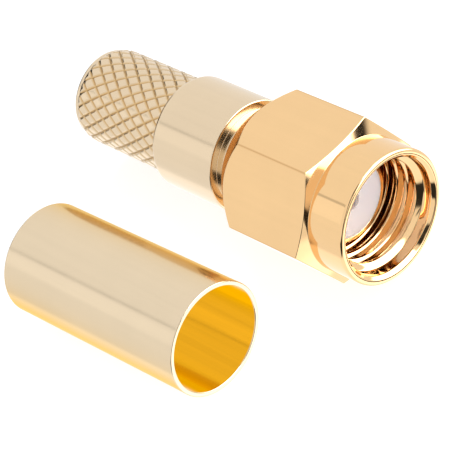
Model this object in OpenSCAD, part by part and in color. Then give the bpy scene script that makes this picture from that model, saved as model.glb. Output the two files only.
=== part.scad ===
// Coaxial cable plug with a screw coupling nut, and its loose crimp ferrule.
// The plug lies on one flat of its nut. Its axis is X and the mating end faces +X.
// The origin is on the axis, in the plane of the contact ring's face, where the mating
// connector comes to a stop. Units are millimetres.

/* [Coupling nut] */
// Distance across the flats of the hexagon
nut_flats = 8; // [7.8:0.1:9]
// Radius of the round collar in front of the hexagon
collar_r = 3.7; // [3.5:0.05:3.85]
// Length of the round collar
collar_len = 2.3; // [1.6:0.1:3]
// Length of the whole nut
nut_len = 9.12; // [8.9:0.02:10]
// Radius of the nut's rear face, where the rear chamfer ends
nut_end_r = 3.25; // [3.1:0.05:3.4]
// Slope of the front chamfer, from the end plane, in degrees
front_chamfer = 19; // [12:1:30]
// Slope of the rear chamfer, from the axis, in degrees
rear_chamfer = 39; // [34:1:48]

/* [Coupling thread] */
// Radius of the smooth counterbore in front of the thread
counterbore_r = 3.18; // [3.1:0.01:3.3]
// Depth of the counterbore, where the thread starts
counterbore_depth = 0.7; // [0.4:0.05:1]
// Radius of the hole at the crests of the thread
thread_minor_r = 2.83; // [2.76:0.01:2.88]
// Length of the thread with its lead-in
thread_len = 1.98; // [1.6:0.02:2]

/* [Contact end] */
// Depth of the contact ring's face behind the nut's rim
contact_depth = 2.68; // [2.5:0.02:2.9]
// Inner radius of the contact ring, which the insulator fills
contact_bore_r = 2.065; // [1.95:0.005:2.1]
// Outer radius of the contact ring
contact_ring_r = 2.29; // [2.25:0.01:2.35]
// Length of the contact ring, from its face to the gasket's shoulder
contact_ring_len = 1.8; // [1.6:0.05:2]
// Thickness of the gasket along the axis
gasket_len = 0.65; // [0.4:0.05:0.9]
// Outer radius of the gasket
gasket_r = 2.66; // [2.5:0.01:2.68]

/* [Body] */
// Radius of the neck on which the nut turns
neck_r = 2.7; // [2.7:0.01:2.8]
// Radius of the barrel
barrel_r = 3.2; // [3.1:0.05:3.4]
// Length of the barrel
barrel_len = 4.67; // [3.5:0.05:7]
// Radius of the bore that takes the cable's inner insulation
cable_bore_r = 1.9; // [1.75:0.05:2.1]
// Length of the insulator inside the body
insulator_len = 6.4; // [5.6:0.1:7.5]
// Radius of the chamber round the contact's rear, a stop for insulator and cable
chamber_r = 1.65; // [1.4:0.05:1.7]

/* [Crimp stem] */
// Radius over the diamonds of the knurl
stem_r = 2.76; // [2.7:0.01:2.84]
// Length of the stem
stem_len = 7.03; // [5:0.05:10]
// Depth of the knurl's grooves
knurl_depth = 0.11; // [0.06:0.01:0.15]
// Number of diamonds round the stem
knurl_starts = 22; // [16:1:28]
// Length of one diamond along the stem
knurl_pitch = 1.15; // [0.9:0.05:1.6]
// Share of a diamond that is its flat top
knurl_top = 0.68; // [0.5:0.02:0.8]

/* [Snap ring] */
// Outer radius of the ring
ring_r = 3.02; // [2.98:0.01:3.04]
// Thickness of the ring along the axis
ring_t = 0.5; // [0.4:0.05:0.6]
// Width of the split in the ring
ring_split = 1.2; // [0.6:0.1:2]
// Distance of the ring's middle behind the contact ring's face
ring_back = 4.2; // [3.8:0.1:5]

/* [Centre contact] */
// Radius of the contact inside the insulator
contact_r = 0.635; // [0.6:0.005:0.7]
// Radius of the hole that takes the mating pin
socket_r = 0.47; // [0.45:0.01:0.5]
// Depth of the hole that takes the mating pin
socket_depth = 2.6; // [2:0.1:3.5]
// Thickness of the insulator's lip in front of the contact
lip_t = 0.3; // [0.2:0.05:0.5]
// Radius of the flange and pot behind the contact
pot_r = 1; // [0.95:0.05:1.2]
// Length of the flange seated in the insulator's rear
flange_len = 0.6; // [0.4:0.1:1]
// Length of the pot behind the insulator, which takes the cable's centre wire
pot_len = 3; // [2:0.1:4]
// Radius of the hole in the pot
pot_hole_r = 0.72; // [0.5:0.01:0.75]

/* [Crimp ferrule] */
// Outer radius of the ferrule
ferrule_r = 3.1; // [3.05:0.01:3.4]
// Wall of the ferrule
ferrule_wall = 0.25; // [0.2:0.01:0.3]
// Length of the ferrule
ferrule_len = 12.7; // [9:0.1:15]
// Distance of the ferrule's front end behind the contact ring's face
ferrule_back = 0.62; // [0:0.02:6]
// Distance of the ferrule's front end from the plug's axis
ferrule_side = 10.29; // [8.5:0.01:14]
// Angle between the ferrule and the plug, in degrees
ferrule_turn = 1.6; // [0:0.1:6]

/* [Clearances] */
// Clearance of the nut round the neck
turning_gap = 0.06; // [0.02:0.01:0.1]
// Gap between the nut's rear face and the barrel, in which the neck shows
end_gap = 0.92; // [0.1:0.02:1.2]
// Play of the snap ring in the nut's groove, on every side
ring_play = 0.12; // [0.08:0.01:0.2]
// Clearance of parts that are pushed together
push_gap = 0.005; // [0.002:0.001:0.01]
// Bevel on small turned edges
edge = 0.08; // [0.04:0.01:0.12]

/* [Hidden] */
$fn = 96;

// Places along the axis. The contact ring's face is at 0, and the rear is negative.
rim_x = contact_depth;
hexagon_x = rim_x - collar_len;
nut_rear_x = rim_x - nut_len;
shoulder_x = -contact_ring_len;
ring_x = -ring_back;
barrel_x = nut_rear_x - end_gap;
stem_x = barrel_x - barrel_len;
rear_x = stem_x - stem_len;
socket_x = -lip_t;
insulator_x = -insulator_len;
seat_x = insulator_x + flange_len;
pot_x = insulator_x - pot_len;
cable_stop_x = pot_x - 2 * edge;

// The hexagon, over its corners
hex_corner_r = nut_flats / 2 / cos(30);

// The nut's inside
nut_bore_r = neck_r + turning_gap;
relief_r = counterbore_r + 0.02;
relief_x = shoulder_x - 2 * edge;
mouth_bevel = 0.2;

// The snap ring and its grooves
ring_groove_r = contact_ring_r - 0.04;
ring_inner_r = ring_groove_r + push_gap * 10;

// The knurl's grid: half a diamond in each step
knurl_front = stem_x - edge;
knurl_rear = rear_x + 4 * edge;
knurl_steps = 2 * round((knurl_front - knurl_rear) / knurl_pitch);
knurl_root_r = stem_r - knurl_depth;
knurl_step_x = (knurl_front - knurl_rear) / knurl_steps;
knurl_step_a = 180 / knurl_starts;
stem_core_r = knurl_root_r - edge / 2;

// Turns a profile of [radius, place along the axis] about the X axis
module turned(profile) {
    rotate([0, 90, 0])
        rotate_extrude()
            polygon(profile);
}

// Points of a quarter circle from angle a0 to a1 about [r, x]
function arc(r, x, radius, a0, a1, steps = 6) =
    [for (i = [0:steps]) let (a = a0 + (a1 - a0) * i / steps) [r + radius * cos(a), x + radius * sin(a)]];

// Hexagonal bar with both ends turned to a cone
module hexagon() {
    over_r = hex_corner_r + edge;
    front_slope = (over_r - collar_r) * tan(front_chamfer);
    rear_slope = (over_r - nut_end_r) / tan(rear_chamfer);
    intersection() {
        translate([nut_rear_x, 0, 0])
            rotate([0, 90, 0])
                rotate([0, 0, 30])
                    cylinder(r = hex_corner_r, h = nut_len, $fn = 6);
        turned([[0, hexagon_x], [collar_r, hexagon_x], [over_r, hexagon_x - front_slope],
                [over_r, nut_rear_x + rear_slope], [nut_end_r, nut_rear_x], [0, nut_rear_x]]);
    }
}

module coupling_nut() {
    rim_bevel = 2 * edge;
    collar = concat(
        [[0, rim_x]],
        arc(collar_r - rim_bevel, rim_x - rim_bevel, rim_bevel, 90, 0),
        [[collar_r, hexagon_x - edge], [0, hexagon_x - edge]]);
    groove_half = ring_t / 2 + ring_play;
    thread_x = rim_x - counterbore_depth;
    inside = [
        [0, rim_x + 1], [counterbore_r + mouth_bevel, rim_x + 1], [counterbore_r + mouth_bevel, rim_x],
        [counterbore_r, rim_x - mouth_bevel], [counterbore_r, thread_x],
        [thread_minor_r, thread_x - mouth_bevel], [thread_minor_r, thread_x - thread_len],
        [relief_r, thread_x - thread_len - mouth_bevel], [relief_r, relief_x],
        [nut_bore_r, relief_x], [nut_bore_r, ring_x + groove_half],
        [ring_r + ring_play, ring_x + groove_half], [ring_r + ring_play, ring_x - groove_half],
        [nut_bore_r, ring_x - groove_half], [nut_bore_r, nut_rear_x - 1], [0, nut_rear_x - 1]];
    color("goldenrod")
        difference() {
            union() {
                turned(collar);
                hexagon();
            }
            turned(inside);
        }
}

module snap_ring() {
    color("darkgoldenrod")
        difference() {
            turned([[ring_inner_r, ring_x + ring_t / 2], [ring_r, ring_x + ring_t / 2],
                    [ring_r, ring_x - ring_t / 2], [ring_inner_r, ring_x - ring_t / 2]]);
            translate([ring_x - ring_t, -ring_split / 2, 0])
                cube([2 * ring_t, ring_split, 2 * ring_r]);
        }
}

module gasket() {
    inner_r = contact_ring_r + push_gap;
    bead = min(gasket_len, gasket_r - inner_r) / 3;
    front = shoulder_x + gasket_len;
    color("firebrick")
        turned(concat(
            [[inner_r, shoulder_x], [inner_r, front]],
            arc(gasket_r - bead, front - bead, bead, 90, 0),
            arc(gasket_r - bead, shoulder_x + bead, bead, 0, -90)));
}

// Truncated diamonds in rings round the stem. The points are the corners where grooves cross,
// then the four corners of every diamond's top: front, left, rear, right.
module knurl() {
    n = knurl_starts;
    last = knurl_steps;
    tops_0 = n * (last + 1);
    corners = [[1, 0], [0, 1], [-1, 0], [0, -1]];
    // A point i steps along and j steps round, held between the two ends
    function at(i, j, r) = [
        knurl_rear + knurl_step_x * min(max(i, 0), last), r * sin(knurl_step_a * j), r * cos(knurl_step_a * j)];
    function top_r(i) = i <= 0 || i >= last ? knurl_root_r + knurl_depth / 4 : stem_r;
    // Index of the crossing beside j, and of corner c of the diamond at j, in ring i
    function cross(i, j) = i * n + (floor((j - 1 - i % 2) / 2) + n) % n;
    function top(i, j, c) = tops_0 + 4 * (i * n + floor((j - i % 2) / 2) % n) + c;
    crossings = [for (i = [0:last], m = [0:n - 1]) at(i, 2 * m + 1 + i % 2, knurl_root_r)];
    tops = [for (i = [0:last], m = [0:n - 1], c = corners)
        at(i + knurl_top * c[0], 2 * m + i % 2 + knurl_top * c[1], top_r(i + knurl_top * c[0]))];
    diamonds = [for (i = [0:last], m = [0:n - 1]) let (j = 2 * m + i % 2)
        each concat(
            [[top(i, j, 0), top(i, j, 2), top(i, j, 1)], [top(i, j, 0), top(i, j, 3), top(i, j, 2)]],
            i == last ? [] : [
                [top(i, j, 0), top(i, j, 1), cross(i, j + 1)],
                [top(i, j, 0), cross(i, j + 1), cross(i + 1, j)],
                [top(i, j, 0), cross(i + 1, j), cross(i, j - 1)],
                [top(i, j, 0), cross(i, j - 1), top(i, j, 3)]],
            i == 0 ? [] : [
                [top(i, j, 2), cross(i, j + 1), top(i, j, 1)],
                [top(i, j, 2), cross(i - 1, j), cross(i, j + 1)],
                [top(i, j, 2), cross(i, j - 1), cross(i - 1, j)],
                [top(i, j, 2), top(i, j, 3), cross(i, j - 1)]])];
    rear_cap = [for (m = [0:n - 1])
        each [top(0, 2 * m, 3), top(0, 2 * m, 2), top(0, 2 * m, 1), cross(0, 2 * m + 1)]];
    front_cap = [for (m = [n - 1:-1:0])
        each [cross(last, 2 * m + 1), top(last, 2 * m, 1), top(last, 2 * m, 0), top(last, 2 * m, 3)]];
    polyhedron(concat(crossings, tops), concat(diamonds, [rear_cap, front_cap]));
}

module connector_body() {
    shoulder_round = barrel_r - stem_r - edge;
    rear_round = 2 * edge;
    groove_half = ring_t / 2 + edge / 2;
    outside = concat(
        [[0, 0], [contact_ring_r - edge / 2, 0], [contact_ring_r, -edge / 2],
         [contact_ring_r, shoulder_x], [neck_r, shoulder_x], [neck_r, ring_x + groove_half],
         [ring_groove_r, ring_x + groove_half], [ring_groove_r, ring_x - groove_half],
         [neck_r, ring_x - groove_half], [neck_r, barrel_x], [barrel_r - edge, barrel_x],
         [barrel_r, barrel_x - edge]],
        arc(barrel_r - shoulder_round, stem_x + shoulder_round, shoulder_round, 0, -90),
        [[stem_core_r, stem_x]],
        arc(stem_core_r - rear_round, rear_x + rear_round, rear_round, 0, -90),
        [[0, rear_x]]);
    inside = [
        [0, 1], [contact_bore_r, 1], [contact_bore_r, insulator_x],
        [chamber_r, insulator_x], [chamber_r, cable_stop_x],
        [cable_bore_r, cable_stop_x], [cable_bore_r, rear_x + edge],
        [cable_bore_r + edge, rear_x], [cable_bore_r + edge, rear_x - 1], [0, rear_x - 1]];
    color("burlywood")
        difference() {
            union() {
                turned(outside);
                knurl();
            }
            turned(inside);
        }
}

module front_dielectric() {
    outer_r = contact_bore_r - push_gap;
    hole_r = contact_r + push_gap;
    seat_r = pot_r + push_gap;
    color("white")
        turned([
            [socket_r, 0], [outer_r, 0], [outer_r, insulator_x], [seat_r, insulator_x],
            [seat_r, seat_x], [hole_r, seat_x], [hole_r, socket_x], [socket_r, socket_x]]);
}

module centre_contact() {
    slot_w = socket_r / 3;
    slot_len = 0.75 * socket_depth;
    window_r = pot_hole_r / 2;
    color("gold")
        difference() {
            turned([
                [0, socket_x], [contact_r, socket_x], [contact_r, seat_x], [pot_r, seat_x],
                [pot_r, pot_x], [0, pot_x]]);
            turned([[0, socket_x + 1], [socket_r, socket_x + 1], [socket_r, socket_x - socket_depth],
                    [0, socket_x - socket_depth]]);
            turned([[0, insulator_x], [pot_hole_r, insulator_x], [pot_hole_r, pot_x - 1], [0, pot_x - 1]]);
            for (a = [0, 90])
                rotate([a, 0, 0])
                    translate([socket_x - slot_len, -slot_w / 2, -2 * contact_r])
                        cube([slot_len + 1, slot_w, 4 * contact_r]);
            translate([insulator_x - pot_len / 2, 0, 0])
                cylinder(r = window_r, h = 2 * pot_r);
        }
}

module crimp_ferrule() {
    inner_r = ferrule_r - ferrule_wall;
    lip = ferrule_wall / 4;
    color("khaki")
        translate([-ferrule_back, -ferrule_side, ferrule_r - nut_flats / 2])
            rotate([0, 0, ferrule_turn])
                turned([
                    [inner_r + lip, 0], [ferrule_r - lip, 0], [ferrule_r, -lip], [ferrule_r, lip - ferrule_len],
                    [ferrule_r - lip, -ferrule_len], [inner_r + lip, -ferrule_len],
                    [inner_r, lip - ferrule_len], [inner_r, -lip]]);
}

coupling_nut();
snap_ring();
gasket();
connector_body();
front_dielectric();
centre_contact();
crimp_ferrule();
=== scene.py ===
"""Dresses a coaxial cable plug with a screw coupling nut and its loose crimp ferrule.

The turned pieces are grids: a profile that is closed round the wall, carried round the axis.
Sizes are in metres. The plug's axis is X, its mating end faces +X, and the origin is on the
axis in the plane of the contact ring's face.
"""

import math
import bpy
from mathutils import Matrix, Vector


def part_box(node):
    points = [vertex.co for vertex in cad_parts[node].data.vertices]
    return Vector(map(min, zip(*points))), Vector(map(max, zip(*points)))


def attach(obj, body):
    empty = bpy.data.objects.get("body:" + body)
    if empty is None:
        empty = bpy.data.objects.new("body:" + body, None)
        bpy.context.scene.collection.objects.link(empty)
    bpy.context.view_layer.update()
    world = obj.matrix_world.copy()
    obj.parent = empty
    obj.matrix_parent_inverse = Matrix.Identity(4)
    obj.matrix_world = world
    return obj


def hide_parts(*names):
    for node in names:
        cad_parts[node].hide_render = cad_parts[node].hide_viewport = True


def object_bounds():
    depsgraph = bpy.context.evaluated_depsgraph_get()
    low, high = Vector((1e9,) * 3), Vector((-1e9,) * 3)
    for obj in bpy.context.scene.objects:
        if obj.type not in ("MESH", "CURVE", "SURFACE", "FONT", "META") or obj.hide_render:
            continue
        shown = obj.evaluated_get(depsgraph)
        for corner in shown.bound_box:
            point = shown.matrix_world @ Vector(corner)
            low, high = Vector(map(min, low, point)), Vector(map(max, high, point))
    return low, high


bl_info = {
    "name": "Coaxial Cable Plug",
    "version": (1, 0, 0),
    "blender": (4, 5, 0),
    "location": "3D View > Sidebar > Cable Plug",
    "description": "Turned, knurled and threaded pieces of a gold plated cable plug",
    "category": "Add Mesh",
}

import bpy
import numpy as np
from bpy.props import FloatProperty, FloatVectorProperty, IntProperty, PointerProperty
from mathutils import Matrix, Vector

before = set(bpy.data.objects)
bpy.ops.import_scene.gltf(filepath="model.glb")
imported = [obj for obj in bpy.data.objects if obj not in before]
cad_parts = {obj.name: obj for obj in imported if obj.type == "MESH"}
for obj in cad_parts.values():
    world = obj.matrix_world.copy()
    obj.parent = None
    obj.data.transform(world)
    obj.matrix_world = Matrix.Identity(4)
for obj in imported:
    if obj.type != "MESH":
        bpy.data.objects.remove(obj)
CAD_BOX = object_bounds()

NUT_LOW, NUT_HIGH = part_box("coupling_nut")
BODY_LOW, BODY_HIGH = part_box("connector_body")
FERRULE_LOW, FERRULE_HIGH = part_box("crimp_ferrule")
GASKET_LOW, GASKET_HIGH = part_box("gasket")
INSULATOR_LOW, INSULATOR_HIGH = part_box("front_dielectric")

MM = 0.001
TURN = 2 * math.pi
SIXTH = TURN / 6

# Grids. A column is a place round the axis, and a row is a place along the profile.
FERRULE_COLUMNS = 192
INNER_COLUMNS = 160
CORNER_COLUMNS = 4  # on half a rounded corner of the hexagon
FLAT_COLUMNS = 24  # on half a flat of the hexagon
CORNER_GUARDS = (1.6, 2.4)  # places of a flat's first columns, in angles of the corner
THREAD_ROWS = 141

# Eased corners: the cut that one step takes up, the fewest and the most steps, and how many
# cuts off the corner the row that guards the straight stretch lies.
EASE_STEP = 0.04 * MM
EASE_STEPS = (3, 8)
EASE_GUARD = 1.5

# Thread: the flat of a crest each side of its middle, in pitches, the slope of the flanks,
# the share of their rise that is eased, and the slope of the lead-in cones.
CREST_FLAT = 0.125
FLANK_SLOPE = math.tan(math.radians(60))
FLANK_EASE = 0.25
LEAD_SLOPE = 1.6

# Knurl: half diamonds over which it rises from the plain stem at both ends.
KNURL_RISE = 0.6

# The shoulder's rounding takes up this share of the room that it has on the barrel's end.
SHOULDER_SHARE = 0.98

# The darker gold on the hexagon's corners fades out at this many times the angle of its rounded
# corner.
CORNER_DARK_REACH = 1.4

# Plating: patterns in waves per metre, relief, and how far colour and roughness vary.
LATHE_LINES, PLATING_GRAIN, PLATING_CLOUDS = 38000.0, 9000.0, 420.0
DRAWN_STREAKS = (12.0, 1900.0, 1900.0)
PLATING_RELIEF = {"Strength": 0.22, "Distance": 2e-6}
PLATING_GRAIN_HEIGHT = 0.15
PLATING_SHADES, SECOND_SHADES = (0.965, 1.02), (0.93, 1.03)
PLATING_POLISH = (0.8, 1.25)

# Plastic and rubber, in the same way.
MOULD_LINES, MOULD_GRAIN, MOULD_CLOUDS = 30000.0, 14000.0, 900.0
MOULD_RELIEF = {"Strength": 0.25, "Distance": 3e-6}
MOULD_GRAIN_HEIGHT = 0.4
MOULD_POLISH = (0.9, 1.1)
SCATTER_DEPTH = 0.4 * MM
SCATTER_SPREAD = (1.0, 0.95, 1.0)

FLOOR_CLOUDS = 60.0
FLOOR_SHADES = (0.99, 1.0)

# The part of a noise, and of the streaks' noise, that is stretched from 0 to 1.
NOISE_RANGE, STREAK_RANGE = (0.3, 0.7), (0.35, 0.65)

# What gloss sees of the studio: a white surround, which is brighter below the floor's edge,
# and patches of it. Each patch is (azimuth from, to, softness), (elevation from, to,
# softness), level. Angles are in degrees, and azimuth runs from +X towards +Y.
SURROUND = 1.0
FLOOR_EDGE, FLOOR_LEVEL = (-38, -32), 1.25
PATCHES = (
    ((-75, -12, 8), (-30, -11, 4), 0.03),  # low flag between -Y and +X
    ((-12, 43, 5), (-21, -11, 3), 0.03),  # low flag round +X
    ((-38, -6, 5), (31, 56, 5), 0.04),  # high flag between -Y and +X
    ((-29, -20, 3), (-12, 34, 4), 0.04),  # narrow upright flag that joins them
    ((10, 75, 5), (-8, 60, 3), 5.0),  # bright panel between +X and +Y
    ((0, 70, 8), (-62, -37, 4), 2.0),  # its light on the floor
    ((165, 200, 4), (-14, 15, 4), 0.04),  # flag round -X, on the side of +Y
    ((-200, -165, 4), (-14, 15, 4), 0.04),  # flag round -X, on the side of -Y
)
# Strips that lie along the plug: (angle round X from +Y towards +Z, to, softness), level.
# They show where the x of the direction is in their span.
STRIPS = (
    ((138, 165, 2.0), 1.08),  # pale panel
    ((134.0, 136.8, 1.0), 0.66),  # its seam
)
STRIP_SPAN = (-0.8, -0.45, 0.05)

SENSOR_WIDTH = 36  # millimetres
CLIP_NEAR, CLIP_FAR = 0.002, 10


def length(name, description, value):
    """A length in metres, shown with the scene's unit."""
    return FloatProperty(
        name=name, description=description, default=value, unit="LENGTH", precision=5)


def place(name, description, value):
    """A point in metres."""
    return FloatVectorProperty(
        name=name, description=description, default=value, size=3, subtype="TRANSLATION",
        unit="LENGTH")


def angle(name, description, degrees):
    """An angle, given here in degrees and held in radians."""
    return FloatProperty(
        name=name, description=description, default=math.radians(degrees), subtype="ANGLE")


def factor(name, description, value):
    """A share from 0 to 1."""
    return FloatProperty(
        name=name, description=description, default=value, min=0, max=1, subtype="FACTOR")


def power(name, description, value):
    """A power in watts."""
    return FloatProperty(name=name, description=description, default=value, unit="POWER")


def colour(name, description, value):
    """A linear colour."""
    return FloatVectorProperty(
        name=name, description=description, default=value, size=3, min=0, max=1,
        subtype="COLOR")


class NutSizes(bpy.types.PropertyGroup):
    """The coupling nut: a hexagon with a cone at both ends, a collar and a helical thread."""

    flats: length("Across flats", "Distance across the flats of the hexagon", 2 * NUT_HIGH.z)
    collar_radius: length("Collar radius", "Radius of the round collar", 3.7 * MM)
    collar_length: length("Collar length", "Length of the collar", 2.3 * MM)
    end_radius: length("End radius", "Radius at which the rear cone ends", 3.25 * MM)
    front_slope: angle("Front slope", "Slope of the front cone from the end plane", 19)
    rear_slope: angle("Rear slope", "Slope of the rear cone from the axis", 39)
    counterbore_radius: length("Counterbore radius", "Radius of the smooth mouth", 3.18 * MM)
    counterbore_depth: length("Counterbore depth", "Depth of the smooth mouth", 0.7 * MM)
    mouth_chamfer: length("Mouth chamfer", "Chamfer on the edge of the mouth", 0.2 * MM)
    thread_crest: length("Thread crest radius", "Radius of the hole at the crests", 2.83 * MM)
    thread_root: length("Thread root radius", "Radius at the roots", 3.175 * MM)
    thread_length: length("Thread length", "Length of the thread", 3.1 * MM)
    thread_pitch: length("Thread pitch", "Advance of the thread in one turn", 25.4 / 36 * MM)
    relief_radius: length("Relief radius", "Radius of the thread relief", 3.2 * MM)
    relief_end: length("Relief end", "Place of the relief's bottom", -1.96 * MM)
    bore_radius: length("Bore radius", "Radius of the bore on the neck", 2.76 * MM)
    ring_place: length("Ring place", "Place of the groove for the snap ring", -4.2 * MM)
    ring_radius: length("Ring groove radius", "Radius of the snap ring's groove", 3.14 * MM)
    ring_width: length("Ring groove width", "Width of the snap ring's groove", 0.74 * MM)
    corner_round: length("Corner round", "Radius of the polished corners", 0.1 * MM)


class BodySizes(bpy.types.PropertyGroup):
    """The body: contact ring, neck, barrel and knurled crimp stem."""

    ring_radius: length("Contact ring radius", "Outer radius of the contact ring", 2.29 * MM)
    ring_bore: length("Contact ring bore", "Inner radius of the contact ring", 2.065 * MM)
    ring_length: length("Contact ring length", "Length of the contact ring", 1.8 * MM)
    neck_radius: length("Neck radius", "Radius of the neck under the nut", 2.7 * MM)
    groove_radius: length("Groove radius", "Radius of the snap ring's groove", 2.25 * MM)
    groove_width: length("Groove width", "Width of the snap ring's groove", 0.58 * MM)
    barrel_place: length("Barrel place", "Place of the barrel's front face", -7.36 * MM)
    barrel_length: length("Barrel length", "Length of the barrel", 4.67 * MM)
    insulator_end: length("Insulator end", "Place of the insulator's rear face", -6.4 * MM)
    chamber_radius: length("Chamber radius", "Radius of the chamber", 1.65 * MM)
    chamber_end: length("Chamber end", "Place where the chamber ends", -9.56 * MM)
    cable_bore: length("Cable bore", "Radius of the bore for the cable", 1.9 * MM)
    stem_radius: length("Stem radius", "Radius over the diamonds", 2.76 * MM)
    stem_core: length("Stem core radius", "Radius of the plain ends of the stem", 2.61 * MM)
    front_land: length("Front land", "Plain stem in front of the knurl", 0.08 * MM)
    rear_land: length("Rear land", "Plain stem behind the knurl", 0.32 * MM)
    knurl_depth: length("Knurl depth", "Depth of the grooves", 0.11 * MM)
    knurl_starts: IntProperty(
        name="Diamonds", description="Number of diamonds round the stem", default=22, min=8)
    knurl_pitch: length("Diamond length", "Length of a diamond along the stem", 1.15 * MM)
    knurl_top: factor("Diamond top", "Share of a diamond that is its flat top", 0.7)
    knurl_grid: IntProperty(
        name="Knurl grid", description="Grid steps in half a diamond", default=9, min=4)


class FerruleSizes(bpy.types.PropertyGroup):
    """The loose crimp ferrule, a plain tube that lies beside the plug."""

    radius: length("Radius", "Outer radius", (FERRULE_HIGH.z - FERRULE_LOW.z) / 2)
    wall: length("Wall", "Wall of the tube", 0.25 * MM)
    tube_length: length("Length", "Length of the tube", 12.7 * MM)
    front: place(
        "Front", "Middle of the tube's front end",
        (-0.62 * MM, -10.29 * MM, (FERRULE_HIGH.z + FERRULE_LOW.z) / 2))
    turn: angle("Turn", "Angle between the tube and the plug's axis", 1.6)


class InnerSizes(bpy.types.PropertyGroup):
    """The gasket and the insulator inside the mouth."""

    gasket_inner: length("Gasket inner radius", "Radius of the gasket's hole", 2.295 * MM)
    insulator_hole: length("Front hole", "Radius of the hole for the mating pin", 0.47 * MM)
    contact_hole: length("Contact hole", "Radius of the hole for the contact", 0.64 * MM)
    seat_hole: length("Seat hole", "Radius of the contact flange's seat", 1.005 * MM)
    lip: length("Lip", "Thickness of the lip in front of the contact", 0.3 * MM)
    seat_depth: length("Seat depth", "Depth of the flange's seat", 0.6 * MM)


class Finishes(bpy.types.PropertyGroup):
    """Colours and roughness of the plating, the insulator and the seal."""

    nut_gold: colour("Nut gold", "Polished gold of the nut", (0.92, 0.615, 0.315))
    corner_dark_gold: colour("Edge gold", "Darker gold on the nut's corners", (0.76, 0.47, 0.22))
    nut_roughness: factor("Nut roughness", "Roughness of the nut", 0.07)
    body_gold: colour("Body gold", "Pale satin gold of the body", (0.80, 0.64, 0.445))
    # Painted shade: the knurl's grooves take this darker, warmer gold in place of the shade and
    # gold-on-gold bounce that fall in them.
    groove_painted_shade: colour("Groove gold", "Deeper gold in the knurl", (0.62, 0.37, 0.12))
    body_roughness: factor("Body roughness", "Roughness of the body", 0.16)
    ferrule_gold: colour("Ferrule gold", "Pale gold outside the ferrule", (0.80, 0.655, 0.465))
    # Painted reflection: this deep amber stands in for the light that the gold bore bounces
    # round inside itself.
    bore_painted_reflection: colour("Bore gold", "Deep gold inside the ferrule", (0.86, 0.41, 0.015))
    glance_gold: colour("Glance gold", "Tint of what glances off the ferrule", (1.0, 0.72, 0.3))
    ferrule_roughness: factor("Ferrule roughness", "Roughness of the ferrule", 0.17)
    contact_gold: colour("Contact gold", "Gold of the centre contact", (0.93, 0.62, 0.25))
    contact_roughness: factor("Contact roughness", "Roughness of the contact", 0.2)
    bronze: colour("Bronze", "Spring bronze of the snap ring", (0.62, 0.36, 0.17))
    bronze_roughness: factor("Bronze roughness", "Roughness of the snap ring", 0.3)
    insulator: colour("Insulator", "White of the insulator", (0.92, 0.89, 0.97))
    insulator_roughness: factor("Insulator roughness", "Roughness of the insulator", 0.42)
    insulator_scatter: factor("Insulator depth", "Share of light that goes under", 0.6)
    seal: colour("Seal", "Rubber of the gasket", (0.40, 0.035, 0.02))
    seal_roughness: factor("Seal roughness", "Roughness of the gasket", 0.6)


class StageSizes(bpy.types.PropertyGroup):
    """The floor, the light and the camera."""

    floor_size: length("Floor size", "Side of the square floor", 1.2)
    floor_white: factor("Floor white", "Paleness of the floor", 0.56)
    floor_lift: factor("Floor lift", "White that only the camera sees on the floor", 0.7)
    ambient: factor("Ambient", "Level of the plain light from all sides", 0.55)
    key_power: power("Key lamp", "Power of the key lamp", 0.22)
    key_place: place("Key place", "Place of the key lamp", (-0.05, 0.10, 0.22))
    key_size: length("Key size", "Side of the key lamp", 0.16)
    fill_power: power("Fill lamp", "Power of the fill lamp", 0.27)
    fill_place: place("Fill place", "Place of the fill lamp", (0.22, -0.06, 0.09))
    fill_size: length("Fill size", "Side of the fill lamp", 0.10)
    aim: place(
        "Aim", "Point that the camera looks at", (-6.443 * MM, -3.773 * MM, -1.360 * MM))
    distance: length("Distance", "Distance of the camera from its aim", 117.24 * MM)
    azimuth: angle("Azimuth", "Turn of the view from +Y towards -X", 58.78)
    elevation: angle("Elevation", "Height of the camera above the horizon", 40.89)
    roll: angle("Roll", "Lean of the vertical to the left in the view", 21.76)
    lens: FloatProperty(
        name="Lens", description="Focal length", default=177.22, subtype="DISTANCE_CAMERA")


GROUPS = {
    "plug_nut": NutSizes,
    "plug_body": BodySizes,
    "plug_ferrule": FerruleSizes,
    "plug_inner": InnerSizes,
    "plug_finishes": Finishes,
    "plug_stage": StageSizes,
}


# Surfaces

def round_angles(columns):
    """Even angles of a full turn."""
    return TURN * np.arange(columns) / columns


def softened(points, angles):
    """Blocks of rows, one for each corner of a profile, with the corners eased by parabolas.

    points holds (x, radius, cut) of each corner. x and radius may change with the angle, and
    the cut is the length in millimetres taken off each side of the corner, or 0 for a sharp
    one. With C the corner, and A and B the points one cut before and behind it, the row at s
    is (1 - s)^2 A + 2 s (1 - s) C + s^2 B. A row half a cut further out on each side keeps
    the straight stretches flat in shading.
    """
    corners = np.array([[x + 0 * angles, r + 0 * angles] for x, r, _ in points])
    corners = corners.transpose(0, 2, 1)
    blocks = []
    for k, here in enumerate(corners):
        cut = points[k][2] * MM
        if not cut:
            blocks.append(here[None])
            continue
        back = corners[k - 1] - here
        ahead = corners[(k + 1) % len(corners)] - here
        back = cut * back / np.linalg.norm(back, axis=-1, keepdims=True)
        ahead = cut * ahead / np.linalg.norm(ahead, axis=-1, keepdims=True)
        steps = int(np.clip(round(cut / EASE_STEP), *EASE_STEPS))
        s = np.linspace(0, 1, steps + 1)[:, None, None]
        bend = (1 - s) ** 2 * (here + back) + 2 * s * (1 - s) * here + s ** 2 * (here + ahead)
        guards = (here + EASE_GUARD * back)[None], (here + EASE_GUARD * ahead)[None]
        blocks.append(np.concatenate([guards[0], bend, guards[1]]))
    return blocks


def revolved(rows, angles):
    """Carries rows of (x, radius) round the X axis: y = r cos a and z = r sin a."""
    x, r = rows[..., 0], rows[..., 1]
    return np.stack([x, r * np.cos(angles), r * np.sin(angles)], axis=-1)


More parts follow.
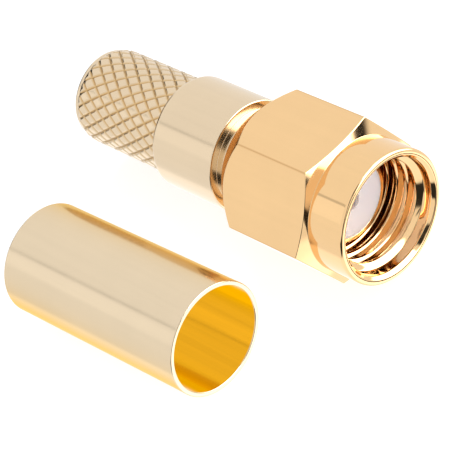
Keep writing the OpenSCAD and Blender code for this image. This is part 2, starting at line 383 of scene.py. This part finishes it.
def run_along(rows):
    """Length along the profile at each row and column, summed from the steps between rows."""
    steps = np.linalg.norm(np.diff(rows, axis=0), axis=-1)
    return np.concatenate([0 * steps[:1], np.cumsum(steps, axis=0)])


def ring_mesh(name, points, attributes, lean=None):
    """Makes a closed ring from a grid of (row, column) points that joins up both ways.

    Each cell is two triangles. lean picks the diagonal of each cell, so that a crease that
    runs slantwise lies on edges. The faces are turned over if the signed volume, the sum of
    a . (b x c) / 6 over the triangles, is negative.
    """
    n, m = points.shape[:2]
    a = np.arange(n * m).reshape(n, m)
    b = np.roll(a, -1, axis=1)
    d, c = np.roll(a, -1, axis=0), np.roll(b, -1, axis=0)
    lean = np.zeros((n, m, 1), bool) if lean is None else lean[..., None]
    first = np.where(lean, np.stack([a, b, d], -1), np.stack([a, b, c], -1))
    second = np.where(lean, np.stack([b, c, d], -1), np.stack([a, c, d], -1))
    faces = np.concatenate([first.reshape(-1, 3), second.reshape(-1, 3)])
    flat = points.reshape(-1, 3)
    p, q, r = flat[faces[:, 0]], flat[faces[:, 1]], flat[faces[:, 2]]
    if np.einsum("ij,ij->i", p, np.cross(q, r)).sum() < 0:
        faces = faces[:, ::-1]
    mesh = bpy.data.meshes.new(name)
    mesh.vertices.add(len(flat))
    mesh.vertices.foreach_set("co", flat.astype(np.float32).ravel())
    mesh.loops.add(faces.size)
    mesh.loops.foreach_set("vertex_index", faces.astype(np.int32).ravel())
    mesh.polygons.add(len(faces))
    mesh.polygons.foreach_set("loop_start", np.arange(0, faces.size, 3, dtype=np.int32))
    mesh.update(calc_edges=True)
    for key, values in attributes.items():
        layer = mesh.attributes.new(key, "FLOAT", "POINT")
        spread = np.broadcast_to(values, (n, m)).astype(np.float32)
        layer.data.foreach_set("value", spread.ravel())
    mesh.validate()
    mesh.shade_smooth()
    piece = bpy.data.objects.new(name, mesh)
    bpy.context.scene.collection.objects.link(piece)
    return piece


def turned_mesh(name, points, angles):
    """Makes a plain turned ring from the corners of its profile."""
    rows = np.concatenate(softened(points, angles))
    return ring_mesh(name, revolved(rows, angles), {"along": run_along(rows)})


def dressed(piece, body, slot, material, *nodes):
    """Gives a piece its body and material, and hides the nodes it stands for. The slot is not
    used.
    """
    piece.data.materials.append(material)
    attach(piece, body)
    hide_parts(*nodes)


def corner_circle(apothem, rounding):
    """Distance from the axis of the centre of a corner's circle, and half the circle's angle.

    The centre lies at (apothem - rounding) / cos 30. The angle is the one seen from the axis
    between the corner and the point where the circle touches a flat.
    """
    centre = (apothem - rounding) / math.cos(SIXTH / 2)
    side = rounding * math.sin(SIXTH / 2)
    return centre, math.atan2(side, centre + rounding * math.cos(SIXTH / 2))


def off_corner(angles):
    """Angle from the nearest corner of a hexagon that has a corner at 0."""
    return np.abs((angles + SIXTH / 2) % SIXTH - SIXTH / 2)


def hexagon_angles(touch):
    """Angles round a hexagon from a corner at 0, close together on its rounded corners.

    One column guards the rounded corner's shading, and the others are even over the flat.
    """
    guard, start = CORNER_GUARDS
    near = np.linspace(0, touch, CORNER_COLUMNS)
    far = np.linspace(start * touch, SIXTH / 2, FLAT_COLUMNS)
    half = np.concatenate([near, [guard * touch], far])
    side = np.concatenate([half, SIXTH - half[-2:0:-1]])
    return np.concatenate([side + k * SIXTH for k in range(6)])


def hexagon_radius(angles, apothem, rounding):
    """Radius of a hexagon with rounded corners.

    On a flat it is apothem / cos(angle from the flat's middle). On a corner it is the far
    side of a circle of the rounding's radius that touches both flats.
    """
    centre, touch = corner_circle(apothem, rounding)
    off = off_corner(angles)
    flat = apothem / np.cos(SIXTH / 2 - off)
    inside = np.maximum(rounding ** 2 - (centre * np.sin(off)) ** 2, 0)
    return np.where(off < touch, centre * np.cos(off) + np.sqrt(inside), flat)


def thread_rows(sizes, rear, front, angles):
    """Rows of a right-hand inner thread between two places on the axis, without the ends.

    The share of a turn s is x / pitch minus the angle's share, taken from the middle of a
    crest. Off the crest's flat the radius rises at 60 degrees from the crest to the root, and
    a share of that rise, t, is eased to 3 t^2 - 2 t^3. The lead-in cones at both ends cut the
    crests down.
    """
    pitch, crest, root = sizes.thread_pitch, sizes.thread_crest, sizes.thread_root
    x = np.linspace(rear, front, THREAD_ROWS)[:, None] + 0 * angles
    s = np.abs((x / pitch - angles / TURN) % 1 - 0.5)
    depth = root - crest
    t = np.clip((s - CREST_FLAT) * pitch * FLANK_SLOPE, 0, depth) / depth
    rise = depth * ((1 - FLANK_EASE) * t + FLANK_EASE * t ** 2 * (3 - 2 * t))
    lead = np.maximum(root - (front - x) * LEAD_SLOPE, root - (x - rear) * LEAD_SLOPE)
    return np.stack([x, np.maximum(crest + rise, lead)], axis=-1)[1:-1]


def knurl_rows(sizes, front, rear, angles):
    """Rows of the diamond knurl between two places on the axis, without the ends.

    Places are counted in half diamonds along the stem and round it. With p and q half the sum
    and half the difference of the two, a groove runs along each line where p or q is halfway
    between whole numbers. The radius falls evenly from the edge of the flat top to the
    groove's line, and at both ends it rises from the plain stem as the square root of the way.
    Gives the rows, how far each point has fallen from 0 to 1, and which way its groove slants.
    """
    grid = sizes.knurl_grid
    steps = np.arange(2 * round((front - rear) / sizes.knurl_pitch) * grid + 1)
    along = (steps / grid)[:, None] + 0 * angles
    around = np.arange(len(angles)) / grid + 0 * along
    p, q = (along + around) / 2, (along - around) / 2
    off_p, off_q = np.abs(p - np.round(p)), np.abs(q - np.round(q))
    top = sizes.knurl_top / 2
    fall = np.clip((np.maximum(off_p, off_q) - top) / (0.5 - top), 0, 1)
    radius = sizes.stem_radius - sizes.knurl_depth * fall
    way = np.minimum(steps, steps[::-1])[:, None] / (KNURL_RISE * grid)
    radius = sizes.stem_core + (radius - sizes.stem_core) * np.sqrt(np.clip(way, 0, 1))
    x = np.linspace(front, rear, len(steps))[:, None] + 0 * angles
    return np.stack([x, radius], axis=-1)[1:-1], fall[1:-1], (off_p < off_q)[1:-1]


# Finishes

class Graph:
    """Short calls for building a node tree."""

    def __init__(self, tree):
        self.tree = tree
        tree.nodes.clear()

    def node(self, kind, settings=None, **sockets):
        made = self.tree.nodes.new(kind)
        for key, value in (settings or {}).items():
            setattr(made, key, value)
        for key, value in sockets.items():
            self.feed(made.inputs[key.replace("_", " ")], value)
        return made

    def feed(self, socket, value):
        """Links a socket, or sets a socket's own value."""
        if isinstance(value, bpy.types.NodeSocket):
            self.tree.links.new(value, socket)
        else:
            socket.default_value = value

    def math(self, operation, *values):
        made = self.tree.nodes.new("ShaderNodeMath")
        made.operation = operation
        for socket, value in zip(made.inputs, values):
            self.feed(socket, value)
        return made.outputs[0]

    def times(self, one, other):
        return self.math("MULTIPLY", one, other)

    def plus(self, one, other):
        return self.math("ADD", one, other)

    def rest(self, share):
        """1 - share."""
        return self.math("SUBTRACT", 1.0, share)

    def spread(self, value, low, high, to_low=0.0, to_high=1.0, smooth=False):
        """Maps low...high to to_low...to_high and holds the ends."""
        settings = {"interpolation_type": "SMOOTHSTEP" if smooth else "LINEAR"}
        made = self.node("ShaderNodeMapRange", settings, Value=value, From_Min=low,
                         From_Max=high, To_Min=to_low, To_Max=to_high)
        return made.outputs["Result"]

    def between(self, value, low, high, soft):
        """1 between low and high, falling to 0 over soft outside them."""
        return self.times(self.spread(value, low - soft, low, smooth=True),
                          self.spread(value, high, high + soft, 1.0, 0.0, smooth=True))

    def toward(self, value, target, share):
        """value + share * (target - value)."""
        return self.math("MULTIPLY_ADD", share, self.math("SUBTRACT", target, value), value)

    def blend(self, share, one, other):
        """Mix of two colours."""
        made = self.tree.nodes.new("ShaderNodeMix")
        made.data_type = "RGBA"
        self.feed(made.inputs[0], share)
        self.feed(made.inputs[6], one)
        self.feed(made.inputs[7], other)
        return made.outputs[2]

    def shades(self, share, base, gains):
        """From one shade of a colour to another."""
        return self.blend(share, *(rgba(base, gain) for gain in gains))

    def attribute(self, name):
        return self.node("ShaderNodeAttribute", {"attribute_name": name}).outputs["Fac"]

    def noise(self, vector, scale, detail=2.0, roughness=0.5):
        made = self.node("ShaderNodeTexNoise", Vector=vector, Scale=scale, Detail=detail,
                         Roughness=roughness)
        return made.outputs["Fac"]

    def lines(self, along, scale, detail, roughness=0.5):
        """Noise that changes with one value only."""
        vector = self.node("ShaderNodeCombineXYZ", X=along).outputs[0]
        return self.noise(vector, scale, detail, roughness)

    def placed(self, turn=(0, 0, 0), scale=(1, 1, 1)):
        """Object coordinates, turned and stretched."""
        made = self.node("ShaderNodeMapping", Scale=scale, Rotation=turn,
                         Vector=self.node("ShaderNodeTexCoord").outputs["Object"])
        return made.outputs["Vector"]

    def surface(self, kind, shader):
        """Links a shader to the surface of a new output."""
        self.tree.links.new(shader.outputs[0], self.node(kind).inputs["Surface"])


def new_material(name):
    """A material and its empty graph."""
    material = bpy.data.materials.new(name)
    material.use_nodes = True
    return material, Graph(material.node_tree)


def rgba(value, gain=1.0):
    """A colour as four numbers."""
    return (*(min(1.0, gain * c) for c in value), 1.0)


def plated(name, base, roughness, turning=0.25, streaks=0.0, turn=(0, 0, 0), second=None,
           glance=(1.0, 1.0, 1.0)):
    """Plated metal with lathe lines along the profile, streaks along the axis and a fine grain.

    second is an attribute's name and the colour that takes over where it rises to 1. The
    glance colour tints what glances off the metal.
    """
    material, g = new_material(name)
    lines = g.lines(g.attribute("along"), LATHE_LINES, 3.0, 0.65)
    fine = g.noise(g.placed(turn), PLATING_GRAIN)
    cloud = g.noise(g.placed(turn), PLATING_CLOUDS, 3.0)
    drawn = g.noise(g.placed(turn, DRAWN_STREAKS), 1.0, 3.0, 0.6)
    height = g.plus(g.times(g.times(lines, g.attribute("turned")), turning),
                    g.times(fine, PLATING_GRAIN_HEIGHT))
    height = g.plus(height, g.times(drawn, streaks))
    bump = g.node("ShaderNodeBump", Height=height, **PLATING_RELIEF)
    tint = g.plus(g.times(cloud, 0.5), g.times(drawn, 0.5))
    shade = g.shades(g.spread(tint, *NOISE_RANGE), base, PLATING_SHADES)
    # Where second is given it paints light: painted shade in the knurl's grooves, a painted
    # reflection inside the ferrule, and a darker gold on the nut's corners.
    if second is not None:
        share, deeper = second
        deep = g.shades(g.spread(drawn, *STREAK_RANGE), deeper, SECOND_SHADES)
        shade = g.blend(g.attribute(share), shade, deep)
    wear = g.plus(g.times(cloud, 0.5), g.times(lines, 0.5))
    rough = g.spread(wear, *NOISE_RANGE, *(roughness * part for part in PLATING_POLISH))
    shader = g.node("ShaderNodeBsdfPrincipled", Base_Color=shade, Metallic=1.0,
                    Roughness=rough, Specular_Tint=rgba(glance), Normal=bump.outputs["Normal"])
    g.surface("ShaderNodeOutputMaterial", shader)
    return material


def moulded(name, base, roughness, mottle, turning, scatter=0.0):
    """Plastic or rubber with a soft mottle and faint turning or moulding marks."""
    material, g = new_material(name)
    cloud = g.noise(g.placed(), MOULD_CLOUDS, 3.0)
    fine = g.noise(g.placed(), MOULD_GRAIN)
    lines = g.lines(g.attribute("along"), MOULD_LINES, 2.0)
    height = g.plus(g.times(fine, MOULD_GRAIN_HEIGHT), g.times(lines, turning))
    bump = g.node("ShaderNodeBump", Height=height, **MOULD_RELIEF)
    shade = g.shades(g.spread(cloud, *NOISE_RANGE), base, (1.0 - mottle, 1.0))
    rough = g.spread(fine, *NOISE_RANGE, *(roughness * part for part in MOULD_POLISH))
    shader = g.node("ShaderNodeBsdfPrincipled", Base_Color=shade, Roughness=rough,
                    Normal=bump.outputs["Normal"], Subsurface_Weight=scatter,
                    Subsurface_Scale=SCATTER_DEPTH, Subsurface_Radius=SCATTER_SPREAD)
    g.surface("ShaderNodeOutputMaterial", shader)
    return material


def keep_node(name, material):
    """Keeps a solid of the frame and gives it its finish."""
    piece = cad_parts[name]
    piece.data.materials.clear()
    piece.data.materials.append(material)


# Pieces

class PLUG_OT_nut(bpy.types.Operator):
    """Make the coupling nut: hexagon, cones, collar, counterbore and thread"""

    bl_idname = "plug.nut"
    bl_label = "Coupling nut"

    def execute(self, context):
        s, f = context.scene.plug_nut, context.scene.plug_finishes
        apothem = s.flats / 2
        _, touch = corner_circle(apothem, s.corner_round)
        angles = hexagon_angles(touch)
        hexagon = hexagon_radius(angles, apothem, s.corner_round)
        rim, rear = NUT_HIGH.x, NUT_LOW.x
        shoulder = rim - s.collar_length
        front_edge = shoulder - (hexagon - s.collar_radius) * math.tan(s.front_slope)
        rear_edge = rear + (hexagon - s.end_radius) / math.tan(s.rear_slope)
        thread_front = rim - s.counterbore_depth
        thread_rear = thread_front - s.thread_length
        groove_front = s.ring_place + s.ring_width / 2
        groove_rear = s.ring_place - s.ring_width / 2
        outline = softened([
            (thread_front, s.counterbore_radius, 0),
            (rim - s.mouth_chamfer, s.counterbore_radius, 0.05),
            (rim, s.counterbore_radius + s.mouth_chamfer, 0.05),
            (rim, s.collar_radius, 0.19),
            (shoulder, s.collar_radius, 0.02),
            (front_edge, hexagon, 0.04),
            (rear_edge, hexagon, 0.04),
            (rear, s.end_radius, 0.05),
            (rear, s.bore_radius, 0.04),
            (groove_rear, s.bore_radius, 0.03),
            (groove_rear, s.ring_radius, 0.03),
            (groove_front, s.ring_radius, 0.03),
            (groove_front, s.bore_radius, 0.03),
            (s.relief_end, s.bore_radius, 0.04),
            (s.relief_end, s.relief_radius, 0.04),
            (thread_rear, s.relief_radius, 0),
        ], angles)
        rows = np.concatenate([*outline, thread_rows(s, thread_rear, thread_front, angles)])
        on_flat = np.isclose(rows[..., 1], hexagon) & (rows[..., 0] < shoulder)
        # The hexagon's rounded corners, and a sliver of the flats beside them, take a darker
        # gold.
        corner_share = on_flat * np.clip(CORNER_DARK_REACH - off_corner(angles) / touch, 0, 1)
        piece = ring_mesh("coupling_nut_threaded", revolved(rows, angles),
                          {"along": run_along(rows), "turned": 1.0 - on_flat, "edge": corner_share})
        finish = plated("polished_nut_gold", f.nut_gold, f.nut_roughness,
                        second=("edge", f.corner_dark_gold))
        dressed(piece, "nut", "nut_gold", finish, "coupling_nut")
        return {"FINISHED"}


class PLUG_OT_body(bpy.types.Operator):
    """Make the body: contact ring, neck, barrel and knurled stem, with its bores"""

    bl_idname = "plug.body"
    bl_label = "Connector body"

    def execute(self, context):
        s, f = context.scene.plug_body, context.scene.plug_finishes
        angles = round_angles(2 * s.knurl_starts * s.knurl_grid)
        barrel, rear = BODY_HIGH.z, BODY_LOW.x
        stem = s.barrel_place - s.barrel_length
        shoulder_cut = SHOULDER_SHARE * (barrel - s.stem_radius - s.front_land)
        knurl_front, knurl_rear = stem - s.front_land, rear + s.rear_land
        ring_place = context.scene.plug_nut.ring_place
        groove_front = ring_place + s.groove_width / 2
        groove_rear = ring_place - s.groove_width / 2
        before_knurl = [
            (s.insulator_end, s.ring_bore, 0.02),
            (0, s.ring_bore, 0.03),
            (0, s.ring_radius, 0.04),
            (-s.ring_length, s.ring_radius, 0.03),
            (-s.ring_length, s.neck_radius, 0.04),
            (groove_front, s.neck_radius, 0.03),
            (groove_front, s.groove_radius, 0.03),
            (groove_rear, s.groove_radius, 0.03),
            (groove_rear, s.neck_radius, 0.03),
            (s.barrel_place, s.neck_radius, 0.03),
            (s.barrel_place, barrel, 0.08),
            (stem, barrel, shoulder_cut / MM),
            (stem, s.stem_core, 0.01),
            (knurl_front, s.stem_core, 0),
        ]
        after_knurl = [
            (knurl_rear, s.stem_core, 0),
            (rear, s.stem_core, 0.16),
            (rear, s.cable_bore, 0.06),
            (s.chamber_end, s.cable_bore, 0.03),
            (s.chamber_end, s.chamber_radius, 0.03),
            (s.insulator_end, s.chamber_radius, 0.03),
        ]
        blocks = softened(before_knurl + after_knurl, angles)
        before = np.concatenate(blocks[:len(before_knurl)])
        after = np.concatenate(blocks[len(before_knurl):])
        knurl, fall, slant = knurl_rows(s, knurl_front, knurl_rear, angles)
        rows = np.concatenate([before, knurl, after])
        plain = ((len(before), len(after)), (0, 0))
        shares = {"along": run_along(rows), "turned": 1.0, "groove": np.pad(fall, plain)}
        piece = ring_mesh("connector_body_knurled", revolved(rows, angles), shares,
                          np.pad(slant, plain))
        # The knurl's grooves get a painted shade: the body's gold runs to the groove colour as
        # they deepen.
        finish = plated("satin_body_gold", f.body_gold, f.body_roughness, turning=0.5,
                        streaks=0.2, second=("groove", f.groove_painted_shade))
        dressed(piece, "plug", "body_gold", finish, "connector_body")
        return {"FINISHED"}


class PLUG_OT_ferrule(bpy.types.Operator):
    """Make the loose crimp ferrule, a tube with eased lips"""

    bl_idname = "plug.ferrule"
    bl_label = "Crimp ferrule"

    def execute(self, context):
        s, f = context.scene.plug_ferrule, context.scene.plug_finishes
        angles = round_angles(FERRULE_COLUMNS)
        inner, rear, lip = s.radius - s.wall, -s.tube_length, 0.06
        rows = np.concatenate(softened([
            (0, inner, lip), (0, s.radius, lip), (rear, s.radius, lip), (rear, inner, lip)],
            angles))
        turned = np.array(Matrix.Rotation(s.turn, 3, "Z"))
        points = revolved(rows, angles) @ turned.T + np.array(s.front)
        shares = {"along": run_along(rows), "turned": 1.0,
                  "inside": np.isclose(rows[..., 1], inner)}
        piece = ring_mesh("crimp_ferrule_tube", points, shares)
        # The inside of the tube gets a painted reflection, a deep amber in place of the gold's
        # bounce round the bore.
        finish = plated("satin_ferrule_gold", f.ferrule_gold, f.ferrule_roughness,
                        turning=0.12, streaks=0.6, turn=(0, 0, -s.turn),
                        second=("inside", f.bore_painted_reflection), glance=f.glance_gold)
        dressed(piece, "plug", "ferrule_gold", finish, "crimp_ferrule")
        piece.visible_glossy = False  # the nut and the barrel reflect the studio alone
        return {"FINISHED"}


class PLUG_OT_inner(bpy.types.Operator):
    """Make the insulator and the gasket, and finish the contact and the snap ring"""

    bl_idname = "plug.inner"
    bl_label = "Insulator, gasket and contact"

    def execute(self, context):
        s, f = context.scene.plug_inner, context.scene.plug_finishes
        angles = round_angles(INNER_COLUMNS)
        rear, outer = INSULATOR_LOW.x, INSULATOR_HIGH.z
        seat = rear + s.seat_depth
        piece = turned_mesh("front_insulator_turned", [
            (0, s.insulator_hole, 0.03),
            (0, outer, 0.03),
            (rear, outer, 0.05),
            (rear, s.seat_hole, 0.03),
            (seat, s.seat_hole, 0.02),
            (seat, s.contact_hole, 0.02),
            (-s.lip, s.contact_hole, 0.02),
            (-s.lip, s.insulator_hole, 0.02),
        ], angles)
        finish = moulded("white_insulator", f.insulator, f.insulator_roughness, mottle=0.02,
                         turning=0.3, scatter=f.insulator_scatter)
        dressed(piece, "plug", "insulator_white", finish, "front_dielectric")
        piece = turned_mesh("seal_gasket_moulded", [
            (GASKET_HIGH.x, s.gasket_inner, 0.03),
            (GASKET_HIGH.x, GASKET_HIGH.z, 0.12),
            (GASKET_LOW.x, GASKET_HIGH.z, 0.12),
            (GASKET_LOW.x, s.gasket_inner, 0.03),
        ], angles)
        finish = moulded("red_seal_rubber", f.seal, f.seal_roughness, mottle=0.12, turning=0.1)
        dressed(piece, "plug", "seal_rubber", finish, "gasket")
        finish = plated("contact_gold", f.contact_gold, f.contact_roughness, turning=0.0)
        keep_node("centre_contact", finish)
        finish = plated("spring_bronze", f.bronze, f.bronze_roughness, turning=0.0)
        keep_node("snap_ring", finish)
        return {"FINISHED"}


# Stage

def studio_world(stage):
    """White surround. Gloss sees a white room with dark flags, bright panels and a seam."""
    world = bpy.data.worlds.new("studio_surround")
    world.use_nodes = True
    g = Graph(world.node_tree)
    direction = g.node("ShaderNodeTexCoord").outputs["Generated"]
    x, y, z = g.node("ShaderNodeSeparateXYZ", Vector=direction).outputs
    azimuth = g.math("DEGREES", g.math("ARCTAN2", y, x))
    elevation = g.math("DEGREES", g.math("ARCSINE", z))
    round_axis = g.math("DEGREES", g.math("ARCTAN2", z, y))
    below = g.spread(elevation, *FLOOR_EDGE, 1.0, 0.0, smooth=True)
    level = g.toward(SURROUND, FLOOR_LEVEL, below)
    for wide, tall, value in PATCHES:
        patch = g.times(g.between(azimuth, *wide), g.between(elevation, *tall))
        level = g.toward(level, value, patch)
    across = g.between(x, *STRIP_SPAN)
    for span, value in STRIPS:
        level = g.toward(level, value, g.times(g.between(round_axis, *span), across))
    path = g.node("ShaderNodeLightPath").outputs
    glossy = path["Is Glossy Ray"]
    strength = g.plus(g.times(glossy, level), g.times(g.rest(glossy), stage.ambient))
    seen = g.math("MAXIMUM", path["Is Camera Ray"], path["Is Transmission Ray"])
    strength = g.plus(seen, g.times(g.rest(seen), strength))
    background = g.node("ShaderNodeBackground", Color=(1, 1, 1, 1), Strength=strength)
    g.surface("ShaderNodeOutputWorld", background)
    return world


def floor_material(stage):
    """Pale matt floor that keeps the shadow and lifts to white for the camera."""
    material, g = new_material("studio_floor")
    mottle = g.spread(g.noise(g.placed(), FLOOR_CLOUDS), *NOISE_RANGE,
                      *(stage.floor_white * part for part in FLOOR_SHADES))
    shade = g.node("ShaderNodeCombineColor", Red=mottle, Green=mottle, Blue=mottle)
    matt = g.node("ShaderNodeBsdfDiffuse", Color=shade.outputs[0])
    seen = g.node("ShaderNodeLightPath").outputs["Is Camera Ray"]
    lift = g.node("ShaderNodeEmission", Color=(1, 1, 1, 1),
                  Strength=g.times(seen, stage.floor_lift))
    total = g.node("ShaderNodeAddShader")
    g.feed(total.inputs[0], matt.outputs[0])
    g.feed(total.inputs[1], lift.outputs[0])
    g.surface("ShaderNodeOutputMaterial", total)
    return material


def floor_piece(stage):
    """A square floor under the plug."""
    half, z = stage.floor_size / 2, CAD_BOX[0][2]
    corners = [(-half, -half, z), (half, -half, z), (half, half, z), (-half, half, z)]
    mesh = bpy.data.meshes.new("studio_floor")
    mesh.from_pydata(corners, [], [(0, 1, 2, 3)])
    mesh.materials.append(floor_material(stage))
    floor = bpy.data.objects.new("studio_floor", mesh)
    floor.visible_glossy = False
    bpy.context.scene.collection.objects.link(floor)


def soft_lamp(name, source, target, side, watts):
    """A square lamp that faces a point. Gloss sees the surround in its stead."""
    data = bpy.data.lights.new(name, "AREA")
    data.size = side
    data.energy = watts
    lamp = bpy.data.objects.new(name, data)
    lamp.location = source
    lamp.rotation_euler = (target - Vector(source)).to_track_quat("-Z", "Y").to_euler()
    lamp.visible_glossy = False
    bpy.context.scene.collection.objects.link(lamp)


def product_camera(stage):
    """A camera that looks along a turned, lowered and rolled direction at its aim.

    The direction is (-sin a cos e, cos a cos e, -sin e) with a the azimuth and e the
    elevation. The roll turns the view's up from the upright towards the level.
    """
    a, e = stage.azimuth, stage.elevation
    forward = Vector((-math.sin(a) * math.cos(e), math.cos(a) * math.cos(e), -math.sin(e)))
    level = forward.cross(Vector((0, 0, 1))).normalized()
    up = level.cross(forward) * math.cos(stage.roll) + level * math.sin(stage.roll)
    data = bpy.data.cameras.new("product_camera")
    data.sensor_width = SENSOR_WIDTH
    data.lens = stage.lens
    data.clip_start = CLIP_NEAR
    data.clip_end = CLIP_FAR
    camera = bpy.data.objects.new("product_camera", data)
    pose = Matrix((forward.cross(up), up, -forward)).transposed().to_4x4()
    pose.translation = Vector(stage.aim) - stage.distance * forward
    camera.matrix_world = pose
    bpy.context.scene.collection.objects.link(camera)
    return camera


class PLUG_OT_stage(bpy.types.Operator):
    """Lay the floor, set the light and place the camera"""

    bl_idname = "plug.stage"
    bl_label = "Stage"

    def execute(self, context):
        scene = context.scene
        s = scene.plug_stage
        scene.world = studio_world(s)
        scene.view_settings.view_transform = "Standard"
        floor_piece(s)
        soft_lamp("key_lamp", s.key_place, Vector(s.aim), s.key_size, s.key_power)
        soft_lamp("fill_lamp", s.fill_place, Vector(), s.fill_size, s.fill_power)
        scene.camera = product_camera(s)
        return {"FINISHED"}


OPERATORS = (PLUG_OT_stage, PLUG_OT_nut, PLUG_OT_body, PLUG_OT_ferrule, PLUG_OT_inner)


class PLUG_PT_panel(bpy.types.Panel):
    """Lists the pieces and their sizes"""

    bl_label = "Cable Plug"
    bl_idname = "PLUG_PT_panel"
    bl_space_type = "VIEW_3D"
    bl_region_type = "UI"
    bl_category = "Cable Plug"

    def draw(self, context):
        for operator in OPERATORS:
            self.layout.operator(operator.bl_idname)
        for key, group in GROUPS.items():
            box = self.layout.box()
            box.label(text=group.__doc__.split(":")[0].split(".")[0])
            for name in group.__annotations__:
                box.prop(getattr(context.scene, key), name)


CLASSES = (*GROUPS.values(), *OPERATORS, PLUG_PT_panel)


def register():
    for one in CLASSES:
        bpy.utils.register_class(one)
    for key, group in GROUPS.items():
        setattr(bpy.types.Scene, key, PointerProperty(type=group))


def unregister():
    for key in GROUPS:
        delattr(bpy.types.Scene, key)
    for one in reversed(CLASSES):
        bpy.utils.unregister_class(one)


def main():
    register()
    bpy.ops.plug.stage()
    bpy.ops.plug.nut()
    bpy.ops.plug.body()
    bpy.ops.plug.ferrule()
    bpy.ops.plug.inner()


if __name__ == "__main__":
    main()
